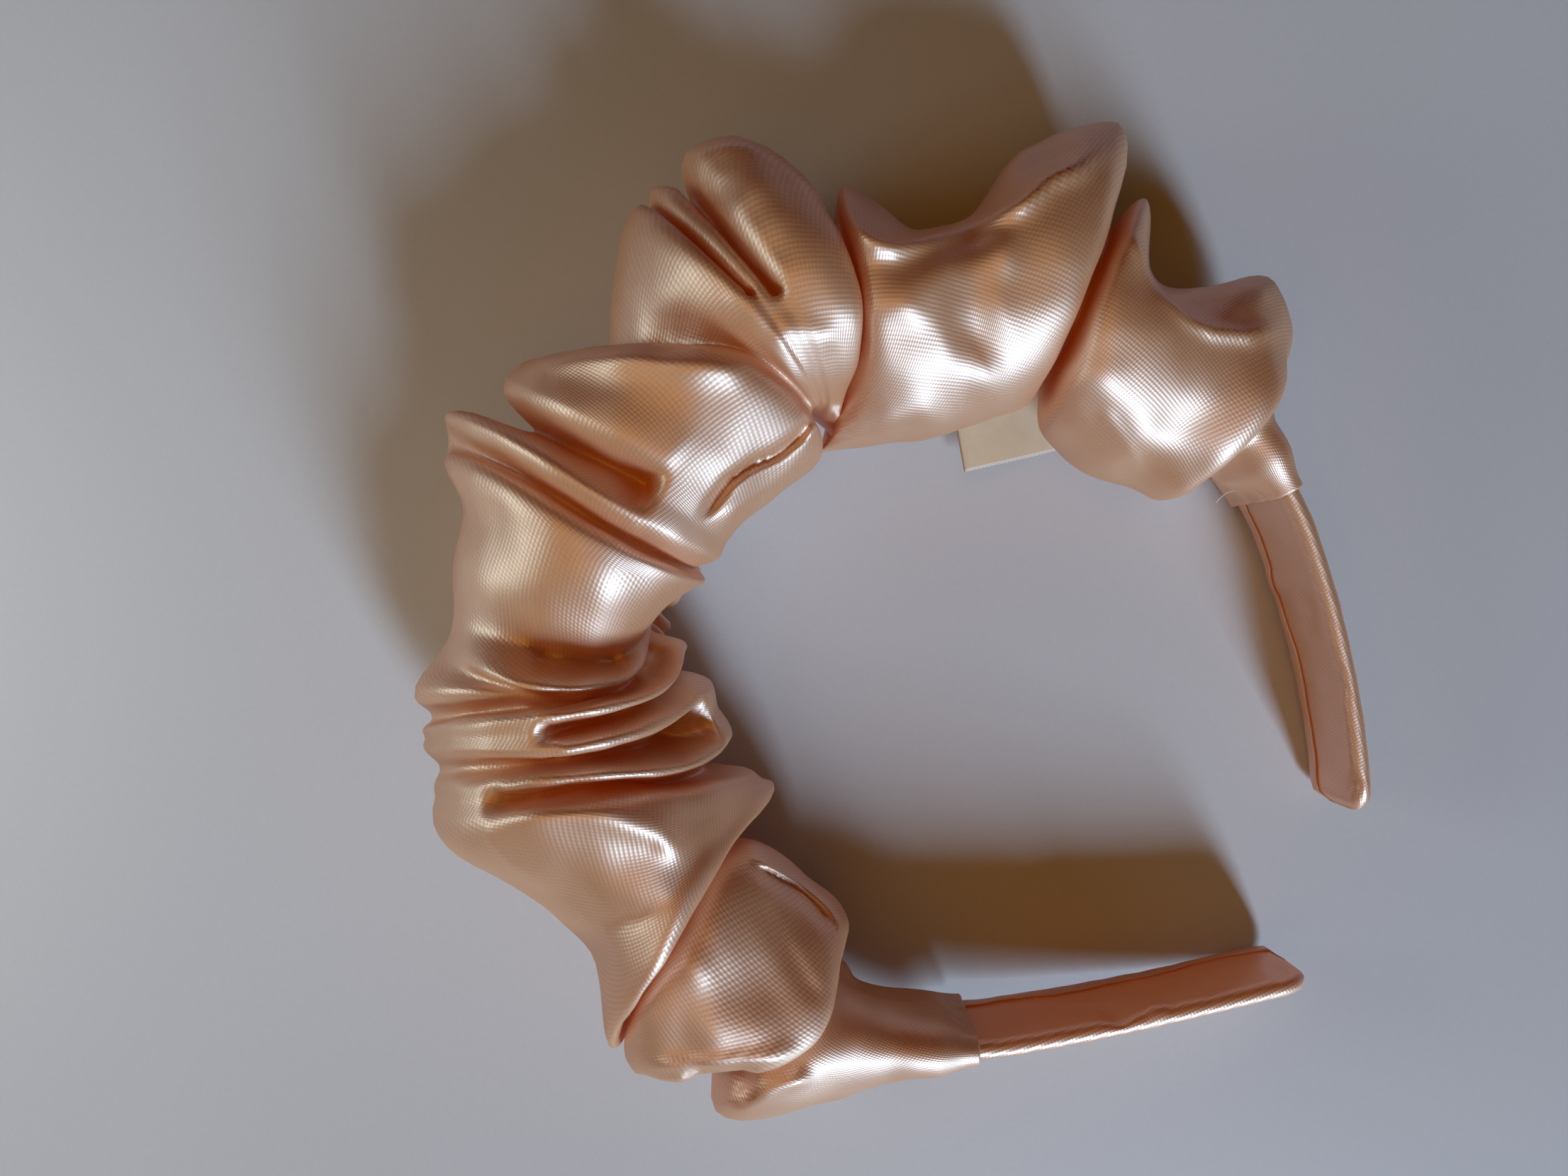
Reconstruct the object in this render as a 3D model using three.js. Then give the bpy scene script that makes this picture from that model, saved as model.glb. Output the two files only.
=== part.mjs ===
// A ruched satin headband, lying on its side on a table.
//
// Frame: millimetres, +Z up. The band is an open C that lies nearly flat: its crown points to +Y and
// its two tips to -Y. The origin is at the bottom centre of the whole headband's bounding box.
//
// "Station" is the distance in millimetres along the band's centreline, 0 at the crown, positive on
// the +X side. "Around" angles turn about that centreline: 0 faces away from the head, 90 is up,
// 180 faces the head and 270 is down.

import * as THREE from 'three';

// ---------------------------------------------------------------- driving dimensions

const BAND = {
  crownRadius: 62.5,      // centreline radius over the top of the head
  crownHalfAngle: 128,    // degrees of arc on each side of the crown
  width: 21,
  tipWidth: 18,
  taperLength: 60,        // the width narrows over this length before each tip
  tipRounding: 5,         // corner radius of the closed tips
  thickness: 3,
};

// Behind each ear the band opens out into a nearly straight leg.
const RIGHT_LEG = { length: 48, bendRadius: 170 };
const LEFT_LEG = { length: 53, bendRadius: 585 };

const CROWN_HEIGHT = 24;  // centreline above the table at the crown; the tips lie on the table

const CLOTH = 1.2;        // wall of the gathered sleeve
const GAP = 0.35;         // between touching pieces
const TABLE_GAP = 0.3;    // the cloth's lowest point above the tips' lowest point

const LABEL = {
  width: 16.5,
  length: 14,
  thickness: 1.3,         // two layers of woven tape, folded
  slit: 0.3,              // between the two layers
  freeEdge: [37.9, 12.3], // plan position of the middle of its folded edge, from the crown's centre
  heading: 45,            // degrees, from the folded edge to the sewn one, from +X
  freeHeight: 6,
  sewnHeight: 1.4,
};

// ---------------------------------------------------------------- the band's centreline

const rad = THREE.MathUtils.degToRad;
const CROWN_LENGTH = BAND.crownRadius * rad(BAND.crownHalfAngle);
const RIGHT_END = CROWN_LENGTH + RIGHT_LEG.length;
const LEFT_END = -(CROWN_LENGTH + LEFT_LEG.length);

// Plan position of a station and the unit direction that points away from the head.
function planAt(station) {
  const side = station < 0 ? -1 : 1;
  const { bendRadius } = side > 0 ? RIGHT_LEG : LEFT_LEG;
  const half = rad(BAND.crownHalfAngle);
  const crown = Math.min(Math.abs(station), CROWN_LENGTH) / BAND.crownRadius;
  const leg = Math.max(Math.abs(station) - CROWN_LENGTH, 0) / bendRadius;
  const angle = crown + leg;
  const shift = leg > 0 ? BAND.crownRadius - bendRadius : 0;
  const radius = leg > 0 ? bendRadius : BAND.crownRadius;
  return {
    x: side * (shift * Math.sin(half) + radius * Math.sin(angle)),
    y: shift * Math.cos(half) + radius * Math.cos(angle),
    outX: side * Math.sin(angle),
    outY: Math.cos(angle),
  };
}

// The C leans: its centreline lies in the plane through both tips and the raised crown.
const LEAN = (() => {
  const at = (station, z) => {
    const p = planAt(station);
    return new THREE.Vector3(p.x, p.y, z);
  };
  const tipHeight = BAND.tipWidth / 2;
  return new THREE.Plane().setFromCoplanarPoints(
    at(RIGHT_END, tipHeight), at(0, CROWN_HEIGHT), at(LEFT_END, tipHeight));
})();

function centreAt(station) {
  const p = planAt(station);
  const z = -(LEAN.normal.x * p.x + LEAN.normal.y * p.y + LEAN.constant) / LEAN.normal.z;
  return { ...p, z };
}

// A point beside the centreline: `out` away from the head and `up`.
function beside(station, out, up) {
  const c = centreAt(station);
  return new THREE.Vector3(c.x + c.outX * out, c.y + c.outY * out, c.z + up);
}

// ---------------------------------------------------------------- meshes from rings

// Joins a list of closed rings, each with the same number of points, into one closed surface. The
// two end rings are closed by flat fans, or joined to each other when the rings form a cycle.
function skin(rings, cycle = false) {
  const sides = rings[0].length;
  const points = rings.flat();
  const faces = [];
  const last = cycle ? rings.length : rings.length - 1;
  for (let i = 0; i < last; i++) {
    const near = i * sides;
    const far = ((i + 1) % rings.length) * sides;
    for (let j = 0; j < sides; j++) {
      const k = (j + 1) % sides;
      faces.push(near + j, far + k, far + j, near + j, near + k, far + k);
    }
  }
  if (!cycle) {
    const final = (rings.length - 1) * sides;
    for (let j = 1; j < sides - 1; j++) {
      faces.push(0, j + 1, j);
      faces.push(final, final + j, final + j + 1);
    }
  }
  const geometry = new THREE.BufferGeometry().setFromPoints(points);
  geometry.setIndex(faces);
  geometry.computeVertexNormals();
  return geometry;
}

const satin = new THREE.MeshStandardMaterial({ color: 0xdeaa87, roughness: 0.38, metalness: 0 });
const woven = new THREE.MeshStandardMaterial({ color: 0xe6dcc0, roughness: 0.85, metalness: 0 });

function piece(name, geometry, material) {
  const mesh = new THREE.Mesh(geometry, material);
  mesh.name = name;
  return mesh;
}

// ---------------------------------------------------------------- the covered band

// Half of the band's width at a station, narrowing to the tips and rounded at their corners.
function bandHalfWidth(station) {
  const toTip = station > 0 ? RIGHT_END - station : station - LEFT_END;
  const taper = Math.min(toTip / BAND.taperLength, 1);
  const half = THREE.MathUtils.lerp(BAND.tipWidth, BAND.width, taper) / 2;
  const round = THREE.MathUtils.clamp(BAND.tipRounding - toTip, 0, BAND.tipRounding);
  const corner = BAND.tipRounding - Math.sqrt(BAND.tipRounding ** 2 - round ** 2);
  return half - corner;
}

// A flat-sided strip section with round edges.
function bandRing(station) {
  const round = BAND.thickness / 2;
  const half = bandHalfWidth(station) - round;
  const edgeSteps = 4;
  const ring = [];
  for (const edge of [0, 180]) {
    for (let i = 0; i <= edgeSteps; i++) {
      const turn = rad(edge + i * 180 / edgeSteps);
      const up = edge === 0 ? half : -half;
      ring.push(beside(station, round * Math.cos(turn), up + round * Math.sin(turn)));
    }
  }
  return ring;
}

function bandGeometry() {
  const step = 7.5;
  const tipSteps = [0, 0.4, 1.2, 2.4, BAND.tipRounding];
  const span = RIGHT_END - LEFT_END - 2 * BAND.tipRounding;
  const count = Math.round(span / step);
  const stations = tipSteps.map((d) => LEFT_END + d);
  for (let i = 1; i < count; i++) {
    stations.push(LEFT_END + BAND.tipRounding + i * span / count);
  }
  stations.push(...tipSteps.map((d) => RIGHT_END - d).reverse());
  return skin(stations.map(bandRing));
}

// ---------------------------------------------------------------- the gathered sleeve

// How the cloth crosses a line of the table below. A ridge is rolled over, a valley is creased and a
// panel is smooth.
const RIDGE = { fullness: 1.25, leastRoll: 6 };
const VALLEY = { fullness: 0.7, leastRoll: 3 };
const PANEL = { fullness: 1, leastRoll: 0 };

const ALL_ROUND = [-90, 270];
const COLUMNS = [0, 45, 90, 135, 180];  // the around angles of the table's columns

// One row for each ridge, valley or panel, in order along the sleeve. `station` says where the line
// crosses each column and `reach` how far it stands from the centreline there:
// [facing out, out and up, top, in and up, facing in]. `open` is the stretch, in degrees around, over
// which a valley is open; elsewhere its two ridges run together.
function line(name, kind, station, reach, open = ALL_ROUND) {
  return { name, kind, station, reach, open };
}

const LINES = [
  line('left cuff', PANEL, [-132, -132, -132, -132, -132], [6.5, 7.2, 12.8, 7, 6]),
  line('left neck', PANEL, [-122, -122, -122, -122, -122], [8.5, 9, 13.2, 8, 5.8]),
  line('left neck spread', PANEL, [-111, -112, -112, -112, -112], [14.3, 13, 13.5, 9, 6.5]),
  line('cone edge', RIDGE, [-97, -100.5, -104, -106, -109], [23.5, 19, 14, 10, 7]),
  line('behind cone', VALLEY, [-94, -96, -99, -101, -103], [16, 14, 13.2, 10, 8]),
  line('lower puff rim', RIDGE, [-92, -101, -102, -102, -102], [19, 21.5, 21, 18, 15]),
  line('lower puff', PANEL, [-90, -93, -91, -88, -87], [21, 23.5, 22, 20, 18]),
  line('lower puff far rim', RIDGE, [-88, -85, -80, -76, -74], [25, 24, 22, 19, 17.5]),
  line('under flap', VALLEY, [-85, -81, -77, -74, -72], [20, 17, 14, 13, 13]),
  line('flap rim', RIDGE, [-84, -81, -77, -71, -66], [24, 25, 25, 23.5, 22.3]),
  line('flap', PANEL, [-67, -65.5, -64, -62, -62], [17.6, 19.3, 24.4, 22.8, 22.3]),
  line('flap lip', RIDGE, [-48, -49, -51, -54, -59], [30, 27, 25, 22, 21.5]),
  line('long pocket', VALLEY, [-47, -48, -49, -52, -54], [29, 24, 14, 12, 14], [38, 270]),
  line('third pleat', RIDGE, [-46, -45, -46, -48, -49], [29.5, 27, 24, 22, 20.3]),
  line('loop hollow', VALLEY, [-44, -43.5, -44, -45, -43], [26, 20, 14, 10, 9]),
  line('second pleat', RIDGE, [-41, -41, -42, -40, -37], [30.3, 27, 24, 21.5, 20.5]),
  line('short pocket', VALLEY, [-40, -40, -40, -38, -35], [29.5, 26, 14, 12, 11], [62, 270]),
  line('first pleat', RIDGE, [-39, -38, -38, -35, -32], [29.5, 27, 23, 19, 14.8]),
  line('beside lobe', VALLEY, [-38, -37, -36, -33, -30.5], [23, 19, 14, 10, 7]),
  line('outer lobe', RIDGE, [-34, -35, -34, -32, -30], [28, 26, 20, 13, 8]),
  line('under bowl', VALLEY, [-29, -32, -33, -31, -29.5], [22, 20, 15, 11, 7]),
  line('bowl lip', RIDGE, [-26, -29, -32, -30, -28], [25, 26, 22, 17, 12.5]),
  line('bowl', VALLEY, [-24, -25, -29, -28, -26], [24, 22, 17, 14, 10]),
  line('bowl back', RIDGE, [-20, -20, -21, -20, -19], [26.5, 26, 24, 19, 10.3]),
  line('crown panel', PANEL, [-14, -14, -14, -14, -14], [27, 26, 25, 20, 12]),
  line('crown panel rim', RIDGE, [-9, -8, -10, -10, -9], [33, 29, 25, 21, 13.5]),
  line('roll crease', VALLEY, [-7.5, -7, -8.5, -9, -8], [32, 20, 14, 12, 10], [8, 270]),
  line('roll', RIDGE, [-6.5, -5, -4, -5, -5], [35.5, 29, 25, 22, 13.5]),
  line('crown pocket', VALLEY, [-2, -1, 0, -2, -3], [20, 17, 14, 12, 10]),
  line('broad puff lip', RIDGE, [1, 2, 3, 1, -1], [30, 27, 24, 21, 13]),
  line('broad puff', PANEL, [4, 5, 10, 12, 12], [29.5, 27, 25, 22, 16.8]),
  line('broad puff top', RIDGE, [7, 10, 19, 26, 28], [25.5, 25, 24, 21, 15.5]),
  line('behind broad puff', VALLEY, [10, 15, 24, 30, 30], [19, 17, 18, 18, 10]),
  line('leaning panel', PANEL, [18, 21, 27.5, 31, 30.6], [27.5, 25, 23, 17, 7]),
  line('leaning panel rim', RIDGE, [26, 27, 29.5, 32, 31], [34.5, 29, 24, 14, 7]),
  line('first rib crease', VALLEY, [27, 28.5, 31, 33, 31.3], [33.5, 21, 15, 10, 6], [6, 200]),
  line('first rib', RIDGE, [28, 30, 32.5, 34, 31.7], [35.5, 29, 23, 14, 7]),
  line('second rib crease', VALLEY, [30, 31.5, 34, 35, 32], [29, 22, 16, 11, 6], [-50, 100]),
  line('second rib', RIDGE, [32, 33, 35.5, 36, 32.3], [38, 31, 24, 15, 7]),
  line('shell', PANEL, [36, 36, 37.5, 37, 32.7], [37, 32, 25, 15, 7]),
  line('shell back', RIDGE, [42, 40, 40, 37.5, 33], [30.5, 31, 25, 14, 7]),
  line('shell edge', RIDGE, [47, 45, 43, 39, 33.5], [23.5, 24.5, 22, 10, 6]),
  line('dark valley', VALLEY, [49, 47, 45, 40.5, 34.3], [15, 14, 13.5, 7, 6]),
  line('large puff rim', RIDGE, [51, 49, 46.8, 41.5, 36], [19.3, 22, 22, 19, 19]),
  line('large puff', PANEL, [59, 58.5, 58, 56, 53], [14.6, 16.2, 24.3, 23, 21.6]),
  line('large puff crest', RIDGE, [71, 69, 67, 67, 67], [28, 27, 25, 21, 18.3]),
  line('large puff peak', RIDGE, [80, 79, 78, 77, 77], [35, 28.3, 23, 17.5, 14.5]),
  line('beside large puff', VALLEY, [83, 82, 80.5, 80, 80], [17, 15, 13.5, 9, 8]),
  line('right puff rim', RIDGE, [86, 84, 82.5, 82, 82], [24.5, 23, 21, 18, 17.5]),
  line('right puff', PANEL, [95.5, 95, 94.5, 94, 95.5], [14, 15, 22.6, 21.8, 21.4]),
  line('right puff crest', PANEL, [105, 105, 105, 107, 109], [23.3, 22, 22.5, 21, 20]),
  line('right puff lobe', RIDGE, [110.5, 111, 113, 115, 116], [21.3, 18, 21, 18, 16]),
  line('right neck fold', VALLEY, [118, 118.5, 119, 121, 122], [10.3, 9, 13.5, 9, 8]),
  line('right neck', PANEL, [122, 123, 123, 124, 125], [7.2, 7.3, 13.2, 8, 5.8]),
  line('right cuff', PANEL, [129, 129, 129, 129, 129], [6.5, 6.6, 12.8, 7, 7]),
];

// Creases that run along the sleeve instead of across it, each from one [station, around] to another.
const CREASES = [
  { name: 'broad puff fold', from: [-2, 158], to: [28, 150], depth: 5, width: 1.6 },
  { name: 'lower puff roll', from: [-100, 165], to: [-76, 150], depth: 5, width: 1.6 },
  { name: 'large puff back', from: [50, 28], to: [74, 24], depth: 6, width: 3 },
];

const CREASE_RADIUS = 20;     // turns a crease's around angle into a distance
const POCKET_END = 9;         // degrees over which a pocket's end rises
const UNDERSIDE = { valley: 15, ridge: 23, clearance: 0.5, innerTuck: 1.8 };
const CUFF_UNDER = 12.8;      // reach below the band at the cuffs and necks, where the cloth is tight

const SLEEVE_COLUMNS = 24;    // faces around
const OUTSIDE_STEP = 4.8;     // spacing of the outside's rings
const INSIDE_STEP = 4.0;      // spacing of the inside's rings

const smoothstep = (x) => THREE.MathUtils.smoothstep(x, 0, 1);
const mean = (...values) => values.reduce((a, b) => a + b, 0) / values.length;

// A line's station and reach at eight even angles around: the five columns, and three below that
// follow from how far the cloth can hang before it meets the table.
function allRound({ name, kind, station, reach }) {
  const [outStation, , topStation, , inStation] = station;
  const [outReach, , , , inReach] = reach;
  const toTable = centreAt(topStation).z - UNDERSIDE.clearance;
  const tight = name.endsWith('cuff') || name.includes('neck');
  let under = kind === VALLEY ? UNDERSIDE.valley : UNDERSIDE.ridge;
  under = Math.min(tight ? CUFF_UNDER : under, toTable);
  const below = mean(outStation, topStation, inStation);
  return {
    stations: [...station, 0.6 * inStation + 0.4 * below, below, 0.6 * outStation + 0.4 * below],
    reaches: [
      ...reach,
      mean(inReach, under) - (tight ? 0 : UNDERSIDE.innerTuck),
      under,
      0.4 * outReach + 0.6 * under,
    ],
  };
}

// Smooth closed curve through eight evenly spaced values.
function aroundCurve(values, degrees) {
  const spacing = 360 / values.length;
  const at = (degrees % 360) / spacing;
  const i = Math.floor(at);
  const t = at - i;
  const [a, b, c, d] = [-1, 0, 1, 2].map((k) => values[(i + k + values.length) % values.length]);
  return 0.5 * (2 * b + (c - a) * t + (2 * a - 5 * b + 4 * c - d) * t * t
    + (3 * b - 3 * c + d - a) * t * t * t);
}

// Where every line crosses one column of the sleeve, as points (station, reach).
function columnCrossings(degrees) {
  const signed = degrees > 270 ? degrees - 360 : degrees;
  const crossings = LINES.map((row) => {
    const { stations, reaches } = allRound(row);
    return new THREE.Vector2(aroundCurve(stations, degrees), aroundCurve(reaches, degrees));
  });
  return crossings.map((point, i) => {
    const { open } = LINES[i];
    if (open === ALL_ROUND) return point;
    const opening = smoothstep((signed - open[0]) / POCKET_END + 0.5)
      * (open[1] < 270 ? smoothstep((open[1] - signed) / POCKET_END + 0.5) : 1);
    const shut = crossings[i - 1].clone().lerp(crossings[i + 1], 0.5);
    shut.y -= TABLE_GAP;
    return shut.lerp(point, opening);
  });
}

// The direction in which the cloth crosses each line of a column, its strength between 0 and 1.
function crossingSlopes(points) {
  const chords = points.slice(1).map((p, i) => p.clone().sub(points[i]));
  return points.map((_, i) => {
    const before = chords[i - 1] ?? chords[i];
    const after = chords[i] ?? chords[i - 1];
    const weight = before.length() / (before.length() + after.length());
    const along = after.clone().normalize().multiplyScalar(weight);
    return along.addScaledVector(before.clone().normalize(), 1 - weight);
  });
}

// Length of the tangent with which a span of cloth leaves a line.
function roll(slope, kind, span) {
  const natural = slope.length() * span * kind.fullness;
  return slope.clone().setLength(Math.max(natural, Math.min(0.9 * span, kind.leastRoll)));
}

function hermite(from, fromTangent, to, toTangent, t) {
  const t2 = t * t;
  const t3 = t2 * t;
  return from.clone().multiplyScalar(2 * t3 - 3 * t2 + 1)
    .addScaledVector(fromTangent, t3 - 2 * t2 + t)
    .addScaledVector(to, 3 * t2 - 2 * t3)
    .addScaledVector(toTangent, t3 - t2);
}

// How far the creases pull the cloth in at a point of the sleeve.
function creaseDepth(station, signed) {
  const point = new THREE.Vector2(station, rad(signed) * CREASE_RADIUS);
  let depth = 0;
  for (const crease of CREASES) {
    const [a, b] = [crease.from, crease.to].map(([s, turn]) =>
      new THREE.Vector2(s, rad(turn) * CREASE_RADIUS));
    const run = b.clone().sub(a);
    const t = THREE.MathUtils.clamp(point.clone().sub(a).dot(run) / run.lengthSq(), 0, 1);
    const away = a.clone().addScaledVector(run, t).distanceTo(point);
    const fade = smoothstep(Math.min(t, 1 - t) / 0.2);
    depth += crease.depth * fade * Math.exp(-((away / crease.width) ** 1.5));
  }
  return depth;
}

// The longest reach that stays above the table, `lift` being what lies between.
function reachToTable(station, degrees, lift) {
  const down = -Math.sin(rad(degrees));
  return down > 0 ? (centreAt(station).z - lift) / down : Infinity;
}

// The outside of the sleeve in one column: a list of (station, reach), with the same number of
// points between two lines in every column.
function outsideColumn(degrees, spansPerLine) {
  const signed = degrees > 270 ? degrees - 360 : degrees;
  const points = columnCrossings(degrees);
  const slopes = crossingSlopes(points);
  const column = [];
  for (let i = 0; i < points.length - 1; i++) {
    const span = points[i].distanceTo(points[i + 1]);
    const leave = roll(slopes[i], LINES[i].kind, span);
    const arrive = roll(slopes[i + 1], LINES[i + 1].kind, span);
    for (let j = 0; j < spansPerLine[i]; j++) {
      column.push(hermite(points[i], leave, points[i + 1], arrive, j / spansPerLine[i]));
    }
  }
  column.push(points.at(-1));
  for (const point of column) {
    point.y -= creaseDepth(point.x, signed);
    point.y = Math.min(point.y, reachToTable(point.x, degrees, TABLE_GAP));
  }
  return column;
}

// The least reach of a column's cloth anywhere within `range` of a station.
function lowestNear(column, station, range) {
  const reaches = column.filter((p) => Math.abs(p.x - station) <= range).map((p) => p.y);
  for (let i = 1; i < column.length; i++) {
    const [a, b] = [column[i - 1], column[i]];
    for (const edge of [station - range, station + range]) {
      const t = (edge - a.x) / (b.x - a.x);
      if (t >= 0 && t <= 1) reaches.push(THREE.MathUtils.lerp(a.y, b.y, t));
    }
  }
  return Math.min(...reaches);
}

// The inside of the sleeve in one column: one cloth's thickness below the lowest cloth nearby, so
// that tight pleats are two layers pressed together, and clear of the band that runs through it.
function insideColumn(outside, degrees, stations) {
  const halfThickness = BAND.thickness / 2 + GAP;
  const turn = rad(degrees);
  return stations.map((station) => {
    const lowest = lowestNear(outside, station, INSIDE_STEP / 2 + CLOTH) - CLOTH;
    const throughBand = Math.min(
      halfThickness / Math.abs(Math.cos(turn)),
      (bandHalfWidth(station) + GAP) / Math.abs(Math.sin(turn)));
    const floor = reachToTable(station, degrees, TABLE_GAP + CLOTH);
    return new THREE.Vector2(station, Math.max(throughBand, Math.min(lowest, floor)));
  });
}

function sleeveGeometry() {
  const angles = Array.from({ length: SLEEVE_COLUMNS }, (_, i) => i * 360 / SLEEVE_COLUMNS);
  const crossings = angles.map(columnCrossings);
  const spansPerLine = LINES.slice(1).map((_, i) => {
    const span = mean(...crossings.map((points) => points[i].distanceTo(points[i + 1])));
    return Math.max(2, Math.round(span / OUTSIDE_STEP));
  });
  const outside = angles.map((degrees) => outsideColumn(degrees, spansPerLine));
  const start = LINES[0].station[2];
  const end = LINES.at(-1).station[2];
  const insideCount = Math.round((end - start) / INSIDE_STEP);
  const stations = Array.from({ length: insideCount + 1 },
    (_, i) => THREE.MathUtils.lerp(start, end, i / insideCount));
  const inside = angles.map((degrees, i) => insideColumn(outside[i], degrees, stations).reverse());
  const ringAt = (columns, i) => columns.map((column, j) => {
    const turn = rad(angles[j]);
    const { x: station, y: reach } = column[i];
    return beside(station, reach * Math.cos(turn), reach * Math.sin(turn));
  });
  return skin([
    ...outside[0].map((_, i) => ringAt(outside, i)),
    ...inside[0].map((_, i) => ringAt(inside, i)),
  ], true);
}

// ---------------------------------------------------------------- the folded label

// Side view of the label: two layers joined by a round fold, open at the sewn edge.
function labelGeometry() {
  const half = LABEL.thickness / 2;
  const slit = LABEL.slit / 2;
  const outline = new THREE.Shape();
  outline.moveTo(LABEL.length, slit);
  outline.lineTo(LABEL.length, half);
  outline.lineTo(half, half);
  outline.absarc(half, 0, half, Math.PI / 2, 3 * Math.PI / 2);
  outline.lineTo(LABEL.length, -half);
  outline.lineTo(LABEL.length, -slit);
  outline.lineTo(half, -slit);
  outline.absarc(half, 0, slit, 3 * Math.PI / 2, Math.PI / 2, true);
  outline.closePath();
  const options = { depth: LABEL.width, bevelEnabled: false, curveSegments: 4 };
  const geometry = new THREE.ExtrudeGeometry(outline, options);
  return geometry.translate(0, 0, -LABEL.width / 2).rotateX(Math.PI / 2);
}

function label() {
  const mesh = piece('label', labelGeometry(), woven);
  const drop = LABEL.freeHeight - LABEL.sewnHeight;
  mesh.position.set(...LABEL.freeEdge, LABEL.freeHeight);
  mesh.rotation.set(0, Math.asin(drop / LABEL.length), rad(LABEL.heading), 'ZYX');
  return mesh;
}

// ---------------------------------------------------------------- the headband

const headband = new THREE.Group();
headband.add(
  piece('band', bandGeometry(), satin),
  piece('sleeve', sleeveGeometry(), satin),
  label(),
);

const box = new THREE.Box3().setFromObject(headband);
const middle = box.getCenter(new THREE.Vector3());
headband.position.set(-middle.x, -middle.y, -box.min.z);

export default headband;
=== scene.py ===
import math

import bpy
import numpy as np
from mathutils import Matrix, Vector


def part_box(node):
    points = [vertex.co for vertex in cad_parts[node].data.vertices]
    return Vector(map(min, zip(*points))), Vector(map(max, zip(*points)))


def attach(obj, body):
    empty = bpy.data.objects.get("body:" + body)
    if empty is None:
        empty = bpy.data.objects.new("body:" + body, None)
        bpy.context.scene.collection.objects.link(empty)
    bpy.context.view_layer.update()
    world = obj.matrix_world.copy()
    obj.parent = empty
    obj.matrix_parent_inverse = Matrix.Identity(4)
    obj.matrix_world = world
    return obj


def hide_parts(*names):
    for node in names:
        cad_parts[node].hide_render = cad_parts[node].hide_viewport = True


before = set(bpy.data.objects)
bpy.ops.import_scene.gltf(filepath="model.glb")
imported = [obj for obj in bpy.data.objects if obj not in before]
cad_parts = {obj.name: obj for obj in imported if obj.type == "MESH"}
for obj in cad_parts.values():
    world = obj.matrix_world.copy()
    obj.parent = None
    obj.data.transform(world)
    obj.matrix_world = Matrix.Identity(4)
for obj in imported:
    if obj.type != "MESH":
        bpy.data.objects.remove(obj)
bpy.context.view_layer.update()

MM = 0.001

# ================================================================ the object's own frame
# Lengths are in millimetres until a mesh is made. The crown frame has its origin at the centre of the
# crown's arc, on the table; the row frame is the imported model's. "Station" is the distance along the
# band's centreline, 0 at the crown and positive on the +X side. Around angles turn about the
# centreline: 0 faces away from the head, 90 is up, 180 faces the head and 270 is down.

CROWN_RADIUS = 62.5
CROWN_HALF_ANGLE = math.radians(128)
CROWN_HEIGHT = 24.0
BAND_WIDTH, TIP_WIDTH, BAND_THICKNESS = 21.0, 18.0, 3.0
TAPER_LENGTH, TIP_ROUNDING = 60.0, 5.0
LEG_LENGTH = {"right": 48.0, "left": 53.0}
LEG_BEND = {"right": 170.0, "left": 585.0}
CROWN_LENGTH = CROWN_RADIUS * CROWN_HALF_ANGLE
ROW_DROP = 0.1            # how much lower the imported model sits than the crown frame
RIGHT_END = CROWN_LENGTH + LEG_LENGTH["right"]
LEFT_END = -(CROWN_LENGTH + LEG_LENGTH["left"])


def plan(station):
    """Plan position of a station, and the unit direction away from the head."""
    s = np.asarray(station, float)
    side = np.where(s < 0, -1.0, 1.0)
    bend = np.where(s < 0, LEG_BEND["left"], LEG_BEND["right"])
    arc = np.minimum(np.abs(s) / CROWN_RADIUS, CROWN_HALF_ANGLE)
    beyond = np.maximum(np.abs(s) - CROWN_LENGTH, 0)
    angle = arc + beyond / bend
    shift = np.where(beyond > 0, CROWN_RADIUS - bend, 0)
    radius = np.where(beyond > 0, bend, CROWN_RADIUS)
    x = side * (shift * math.sin(CROWN_HALF_ANGLE) + radius * np.sin(angle))
    y = shift * math.cos(CROWN_HALF_ANGLE) + radius * np.cos(angle)
    return x, y, side * np.sin(angle), np.cos(angle)


def leaning_plane():
    """The plane through both tips and the raised crown: z = a x + b y + c."""
    rows = []
    for station in (RIGHT_END, LEFT_END, 0):
        x, y, _, _ = plan(station)
        rows.append((float(x), float(y), 1))
    return np.linalg.solve(np.array(rows), np.array([TIP_WIDTH / 2, TIP_WIDTH / 2, CROWN_HEIGHT]))


LEAN = leaning_plane()


def centre(station):
    x, y, out_x, out_y = plan(station)
    return x, y, LEAN[0] * x + LEAN[1] * y + LEAN[2], out_x, out_y


def beside(station, out, up):
    """Crown-frame points, `out` from the centreline and `up`."""
    x, y, z, out_x, out_y = centre(station)
    return np.stack([x + out_x * out, y + out_y * out, z + up], -1)


# The band's box gives the crown frame's place in the row frame.
BAND_BOX = [np.array(corner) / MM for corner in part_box("band")]
OUTER_RADIUS = CROWN_RADIUS + BAND_THICKNESS / 2
CROWN_TO_ROW = np.array([BAND_BOX[0][0] + OUTER_RADIUS, BAND_BOX[1][1] - OUTER_RADIUS, -ROW_DROP])

# ================================================================ the photograph's frame
# The camera looks straight down. Pixels are those of the whole photograph.

PHOTO_SIZE = (2212, 1659)
PHOTO_CENTRE = (1106.0, 829.5)
FOCAL = 1600.0             # pixels
CAMERA_HEIGHT = 215.0
PHOTO_TURN = math.radians(59)
CROWN_IN_PHOTO = (32.2, -15.2)   # the crown frame's origin, in mm from the point below the camera


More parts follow.
